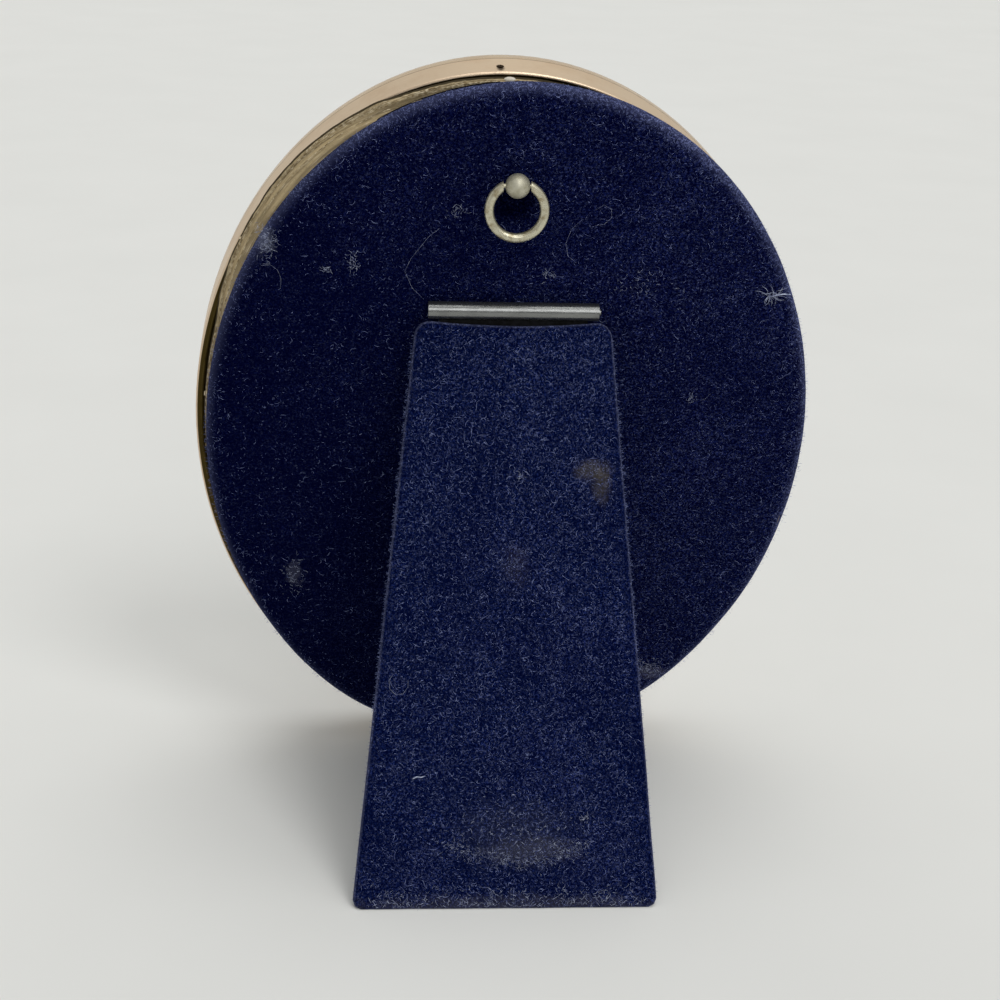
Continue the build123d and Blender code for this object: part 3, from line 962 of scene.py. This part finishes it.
class OVALFRAME_OT_strut_velvet(bpy.types.Operator):
    """Draws the velvet over the strut's board."""

    bl_idname = "ovalframe.strut_velvet"
    bl_label = "Strut velvet"

    def execute(self, context):
        shoulder = 0.75
        columns, rows = 60, 112
        top_corner, foot_corner, top_dip = 1.7, 1.0, 0.75
        length = STRUT_TOP - STRUT_LOW - 2 * shoulder
        deselect()
        bpy.ops.mesh.primitive_grid_add(
            x_subdivisions=columns, y_subdivisions=rows, size=2.0, location=(0, 0, 0))
        made = begin("strut_velvet_cover")
        for vertex in made.data.vertices:
            across, along = vertex.co.x, (vertex.co.y + 1) / 2
            half = STRUT_FOOT_HALF + (STRUT_TOP_HALF - STRUT_FOOT_HALF) * along - shoulder
            corner = top_corner if along > 0.5 else foot_corner
            x, y = across * half, along * length
            low_y, high_y = corner, length - corner
            inner = half - corner
            away_x = max(abs(x) - inner, 0.0) / corner
            away_y = max(y - high_y, low_y - y, 0.0) / corner
            if away_x > 0 and away_y > 0:
                x = math.copysign(inner + corner * away_x * math.sqrt(1 - away_y ** 2 / 2), x)
                pull = corner * away_y * math.sqrt(1 - away_x ** 2 / 2)
                y = high_y + pull if along > 0.5 else low_y - pull
            dip = top_dip * (1 - across ** 2) * max(0.0, (along - 0.9) / 0.1) ** 2
            vertex.co = Vector((x, y - dip + STRUT_LOW + shoulder, 0.0))
        draw_over_edge(made, shoulder_steps(shoulder, shoulder, STRUT_FACE - STRUT_BACK_EDGE - shoulder))
        for vertex in made.data.vertices:
            vertex.co.z += STRUT_FACE
        finish_cover(made, STRUT, "strut_unevenness", 9.0, 0.14)
        level_foot(made)
        made.data.materials.append(strut_velvet_material())
        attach(made, "strut")
        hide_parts("strut_velvet")
        return {"FINISHED"}


def strut_half(y):
    """Half the strut's width at one height."""
    along = (y - STRUT_LOW) / (STRUT_TOP - STRUT_LOW)
    return STRUT_FOOT_HALF + (STRUT_TOP_HALF - STRUT_FOOT_HALF) * along


# How many fibres lie on the shoulder, stand out from the edges and lie in the knot and the fluff
SHOULDER_FIBRES, BACK_FUZZ, STRUT_FUZZ = 2000, 1100, 900
KNOT_FIBRES, FOOT_FLUFF, PATCH_FLUFF = 26, 320, 260
# Single threads on the back's velvet
BACK_THREADS = (
    [(-12.9, 44.0), (-14.6, 42.4), (-17.3, 38.4), (-18.2, 36.1), (-17.0, 33.1), (-15.0, 30.9)],
    [(-40.9, 36.7), (-39.4, 36.9), (-38.3, 36.0), (-37.8, 34.4), (-37.9, 32.6)],
    [(32.2, 11.9), (33.1, 12.4), (33.6, 13.3)],
    [(11.2, 47.6), (12.6, 48.6), (13.8, 47.9), (14.0, 46.4), (12.9, 45.2), (11.4, 44.9)],
    [(9.4, 46.0), (7.8, 44.2), (7.1, 41.6), (7.6, 39.4), (9.0, 38.2)],
)
# Pinches of fluff: centre, spread and number of fibres
BACK_TUFTS = (
    ((-30.7, 36.2), (0.5, 0.3), 22), ((-26.5, 37.4), (0.5, 0.9), 34), ((-10.1, 47.0), (0.8, 0.7), 26),
    ((30.6, 12.2), (0.35, 0.35), 16), ((4.5, 35.8), (0.6, 0.4), 22), ((-39.9, 40.9), (0.9, 1.6), 110),
    ((-36.9, -26.6), (1.0, 2.2), 60), ((29.2, -49.6), (1.6, 0.9), 90), ((21.0, 34.5), (2.5, 1.2), 40),
)
STRUT_TUFTS = (
    ((13.1, -82.9), (0.4, 0.3), 14), ((7.9, -87.4), (0.4, 0.3), 14), ((1.4, -26.3), (0.4, 0.3), 14),
    ((1.0, -85.5), (5.5, 3.0), 120),
)


def back_lint_strands(rng):
    """Blue fibres over the back, denser to the right and few inside the ring, with fuzz round the edge."""
    sizes = settings().sizes
    shoulder = sizes.shoulder / MM
    strands = []
    while len(strands) < sizes.back_lint:
        x, y = rng.uniform(-1, 1), rng.uniform(-1, 1)
        if x * x + y * y > 0.93 or rng.random() > 0.72 + 0.28 * x:
            continue
        start = (x * COVER_A, y * COVER_B)
        if math.dist(start, RING_PLACE) < RING_CLEAR and rng.random() < 0.85:
            continue
        strands.append(lint_strand(rng, start, VELVET_LEVEL + 0.03))
    for _ in range(SHOULDER_FIBRES):
        angle = rng.uniform(0, 2 * math.pi)
        bend = rng.uniform(0.1, 1.3)
        start = cover_edge(angle, swell(angle) - shoulder * (1 - math.sin(bend)))
        level = VELVET_LEVEL - SHOULDER_DROP * (1 - math.cos(bend)) + 0.05
        strands.append(lint_strand(rng, start, level))
    for _ in range(BACK_FUZZ):
        angle = rng.uniform(0, 2 * math.pi)
        side = Vector((math.cos(angle) / COVER_A, math.sin(angle) / COVER_B, 0)).normalized()
        start = cover_edge(angle, swell(angle))
        level = rng.uniform(SEAT_BACK + 0.3, VELVET_LEVEL - 0.7)
        strands.append(fuzz(rng, start, side, level, rng.uniform(0.15, 0.6)))
    return strands


def back_dust_strands(rng):
    """Pale threads, a knot of white fluff at the right and tufts on the back."""
    strands = []
    for points in BACK_THREADS:
        strands.append(([(x, y, VELVET_LEVEL + 0.12) for x, y in points], 0.015))
    for _ in range(KNOT_FIBRES):
        start = (41.3 + rng.gauss(0, 0.45), 32.7 + rng.gauss(0, 0.3))
        strands.append((curl(rng, start, rng.uniform(1.0, 2.6), 0.6, 0.3, VELVET_LEVEL + 0.1), 0.04))
    strands.append(([(41.0, 32.5, 4.45), (42.0, 33.0, 4.75), (43.2, 33.2, 4.7), (44.4, 32.9, 4.35)], 0.13))
    for centre, spread, count in BACK_TUFTS:
        strands += lint_tuft(rng, centre, spread, count, VELVET_LEVEL + 0.05)
    return strands


def strut_lint_strands(rng):
    """Blue fibres over the strut, with fuzz along its sides."""
    strands = []
    while len(strands) < settings().sizes.strut_lint:
        y = rng.uniform(STRUT_LOW + 1, STRUT_TOP - 1.5)
        half = strut_half(y) - 1.2
        strands.append(lint_strand(rng, (rng.uniform(-half, half), y), STRUT_FACE + 0.02))
    for _ in range(STRUT_FUZZ):
        y = rng.uniform(STRUT_LOW + 1.5, STRUT_TOP - 2.5)
        hand = rng.choice((-1, 1))
        level = rng.uniform(STRUT_BACK_EDGE + 0.2, STRUT_FACE - 0.4)
        start = (hand * strut_half(y), y)
        strands.append(fuzz(rng, start, Vector((hand, 0, 0)), level, rng.uniform(0.15, 0.5)))
    return strands


def strut_dust_strands(rng):
    """A pale crumb, tufts, a loop of thread, and fluff along the foot and under the worn patch."""
    level = STRUT_FACE + 0.03
    crumb = [(-15.6, -76.3, 1.5), (-14.9, -75.9, 1.62), (-14.2, -76.0, 1.6), (-13.5, -75.8, 1.5)]
    strands = [(crumb, 0.10)]
    for centre, spread, count in STRUT_TUFTS:
        strands += lint_tuft(rng, centre, spread, count, STRUT_FACE + 0.04)
    loop = []
    for turn in (2.2, 2.9, 3.6, 4.4, 5.2, 6.0, 6.6):
        loop.append((-18.0 + 1.6 * math.cos(turn), -60.5 + 1.9 * math.sin(turn), 1.5))
    strands.append((loop, 0.018))
    for _ in range(FOOT_FLUFF):
        start = (rng.uniform(-23.0, 23.0), STRUT_LOW + abs(rng.gauss(0, 1.5)) + 0.5)
        points = curl(rng, start, rng.uniform(0.3, 1.1), 0.9, 0.1, level)
        strands.append((points, rng.uniform(0.012, 0.028)))
    for _ in range(PATCH_FLUFF):
        turn = math.radians(rng.uniform(195, 345))
        x = 2.0 + 11.5 * math.cos(turn) + rng.gauss(0, 0.9)
        y = -85.2 + 5.0 * math.sin(turn) + rng.gauss(0, 0.7)
        points = curl(rng, (x, y), rng.uniform(0.3, 1.0), 0.9, 0.1, level)
        strands.append((points, rng.uniform(0.010, 0.022)))
    return strands


class OVALFRAME_OT_lint(bpy.types.Operator):
    """Scatters loose fibres over the velvet."""

    bl_idname = "ovalframe.lint"
    bl_label = "Lint"

    def execute(self, context):
        blue = matt_material("blue_lint", BENCH, (0.310, 0.365, 0.640), (0.070, 0.092, 0.250))
        pale = matt_material("pale_lint", BENCH, (0.42, 0.46, 0.60), (0.15, 0.17, 0.27))
        rng = random.Random(31)
        back = strands_mesh("back_lint", back_lint_strands(rng), BACK, blue)
        level_foot(back)
        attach(back, "back")
        dust = strands_mesh("back_dust", back_dust_strands(rng), BACK, pale)
        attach(dust, "back")
        front = strands_mesh("strut_lint", strut_lint_strands(rng), STRUT, blue)
        level_foot(front)
        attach(front, "strut")
        dust = strands_mesh("strut_dust", strut_dust_strands(rng), STRUT, pale)
        level_foot(dust)
        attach(dust, "strut")
        return {"FINISHED"}


class OVALFRAME_OT_fittings(bpy.types.Operator):
    """Finishes the hinge, the ring and the small hidden fixings."""

    bl_idname = "ovalframe.fittings"
    bl_label = "Hinge and ring"

    def execute(self, context):
        colours = settings().colours
        steel = metal_material(
            "gunmetal", BENCH, (0.4, 4.0, 4.0), colours.steel, (0.11, 0.11, 0.108), 0.4, 0.17, 0.3, 0.92)
        for node in ("hinge_barrel", "hinge_pin"):
            dress(node, steel)
        # The hinge leaf is painted very dark as painted shade in the gap between the barrel and the strut.
        shade_black = matt_material("painted_shade_leaf", STRUT, (0.006, 0.006, 0.007), (0.002, 0.002, 0.002))
        dress("strut_leaf", shade_black)
        small = BENCH @ Matrix.Scale(0.2, 4)
        dress("hanging_ring", metal_material(
            "satin_nickel", small, (0.6, 0.6, 0.6), colours.nickel, (0.26, 0.20, 0.10), 0.8, 0.28, 0.5, 0.85))
        dress("ring_stud", metal_material(
            "satin_ball", small, (0.6, 0.6, 0.6), colours.ball, (0.30, 0.27, 0.17), 0.5, 0.44, 0.5, 0.75))
        brass = metal_material(
            "dull_brass", BENCH, (1.0, 1.0, 1.0), (0.55, 0.40, 0.16), (0.25, 0.16, 0.06), 0.5, 0.4, 0.2)
        for node in ("stud_washer", "strut_rivets"):
            dress(node, brass)
        return {"FINISHED"}


# Where the camera stands in metres, and the ways its right side and its top point
CAMERA_PLACE = (0.02278359, 0.29082842, 0.17511244)
CAMERA_RIGHT = Vector((-0.99741708, 0.06372499, 0.03314053))
CAMERA_UP = Vector((0.00714281, -0.37110585, 0.92856310))
# The lamps: the way towards each, its strength and its spread in degrees
LAMPS = (
    ("key_light", (-0.34, 0.62, 0.71), 0.85, 20.0),
    ("top_light", (-0.10, 0.05, 1.0), 0.95, 45.0),
    ("window_light", (-0.08, 0.88, 0.47), 0.45, 25.0),
)


def studio_world():
    """Soft light from all round, before a pale backdrop that metal sees dimmer to one side."""
    world = bpy.data.worlds.new("studio")
    world.use_nodes = True
    tree = world.node_tree
    tree.nodes.clear()
    path = add(tree, "ShaderNodeLightPath")
    seen = math_node(tree, "MAXIMUM", path.outputs["Is Camera Ray"], path.outputs["Is Glossy Ray"])
    seen = math_node(tree, "MAXIMUM", seen, path.outputs["Is Transmission Ray"])
    soft = add(tree, "ShaderNodeBackground", {"Color": (0.98, 0.99, 1.0, 1), "Strength": 0.46})
    towards = add(tree, "ShaderNodeTexCoord").outputs["Generated"]
    way = vector_node(tree, "DOT_PRODUCT", towards, (0.0, 0.94, 0.34))
    dim = times(tree, span(tree, way, 0.25, 0.9), path.outputs["Is Glossy Ray"])
    pale = mix(tree, dim, (0.69, 0.69, 0.655, 1), (0.22, 0.22, 0.22, 1))
    wall = add(tree, "ShaderNodeBackground", {"Color": pale, "Strength": 1.0})
    both = add(tree, "ShaderNodeMixShader", {0: seen, 1: soft.outputs[0], 2: wall.outputs[0]})
    add(tree, "ShaderNodeOutputWorld", {"Surface": both.outputs[0]})
    return world


class OVALFRAME_OT_stage(bpy.types.Operator):
    """Sets the floor, the soft light and the camera."""

    bl_idname = "ovalframe.stage"
    bl_label = "Stage"

    def execute(self, context):
        scene = context.scene
        deselect()
        bpy.ops.mesh.primitive_plane_add(size=4.0, location=(0, 0, 0))
        floor = begin("floor")
        made, tree, shader = new_material("pale_floor")
        vary = noise(tree, placed_coords(tree, Matrix.Scale(MM, 4)), 0.02, 3.0)
        pale = mix(tree, vary, (0.70, 0.70, 0.67, 1), (0.74, 0.74, 0.71, 1))
        fill(tree, shader, {"Base Color": pale, "Roughness": 0.7, "Specular IOR Level": 0.2})
        floor.data.materials.append(made)
        scene.world = studio_world()
        for name, towards, strength, spread in LAMPS:
            lamp = bpy.data.lights.new(name, "SUN")
            lamp.energy = strength
            lamp.angle = math.radians(spread)
            held = bpy.data.objects.new(name, lamp)
            scene.collection.objects.link(held)
            held.location = Vector(towards)
            held.rotation_euler = Vector(towards).to_track_quat("Z", "Y").to_euler()
        camera = bpy.data.cameras.new("camera")
        camera.lens = settings().sizes.lens
        camera.sensor_width = 36.0
        camera.clip_start = 0.01
        held = bpy.data.objects.new("camera", camera)
        scene.collection.objects.link(held)
        turn = Matrix((CAMERA_RIGHT, CAMERA_UP, CAMERA_RIGHT.cross(CAMERA_UP))).transposed().to_4x4()
        held.matrix_world = Matrix.Translation(CAMERA_PLACE) @ turn
        scene.camera = held
        scene.view_settings.view_transform = "Standard"
        return {"FINISHED"}


STEPS = (
    OVALFRAME_OT_stage, OVALFRAME_OT_rim, OVALFRAME_OT_picture, OVALFRAME_OT_boards,
    OVALFRAME_OT_back_velvet, OVALFRAME_OT_strut_velvet, OVALFRAME_OT_lint, OVALFRAME_OT_fittings,
)


class OVALFRAME_PT_panel(bpy.types.Panel):
    """Lists the steps and the settings."""

    bl_idname = "OVALFRAME_PT_panel"
    bl_label = "Oval frame"
    bl_space_type = "VIEW_3D"
    bl_region_type = "UI"
    bl_category = "Oval frame"

    def draw(self, context):
        for group in (context.scene.oval_frame.sizes, context.scene.oval_frame.colours):
            for name in group.__annotations__:
                self.layout.prop(group, name)
        for step in STEPS:
            self.layout.operator(step.bl_idname)


CLASSES = (OvalFrameSizes, OvalFrameColours, OvalFrameSettings, *STEPS, OVALFRAME_PT_panel)


def register():
    """Adds the classes and the scene's settings."""
    for kind in CLASSES:
        bpy.utils.register_class(kind)
    bpy.types.Scene.oval_frame = PointerProperty(type=OvalFrameSettings)


def unregister():
    """Takes them away again."""
    del bpy.types.Scene.oval_frame
    for kind in reversed(CLASSES):
        bpy.utils.unregister_class(kind)


def main():
    """Builds the scene step by step."""
    register()
    bpy.ops.ovalframe.stage()
    bpy.ops.ovalframe.rim()
    bpy.ops.ovalframe.picture()
    bpy.ops.ovalframe.boards()
    bpy.ops.ovalframe.back_velvet()
    bpy.ops.ovalframe.strut_velvet()
    bpy.ops.ovalframe.lint()
    bpy.ops.ovalframe.fittings()


if __name__ == "__main__":
    main()
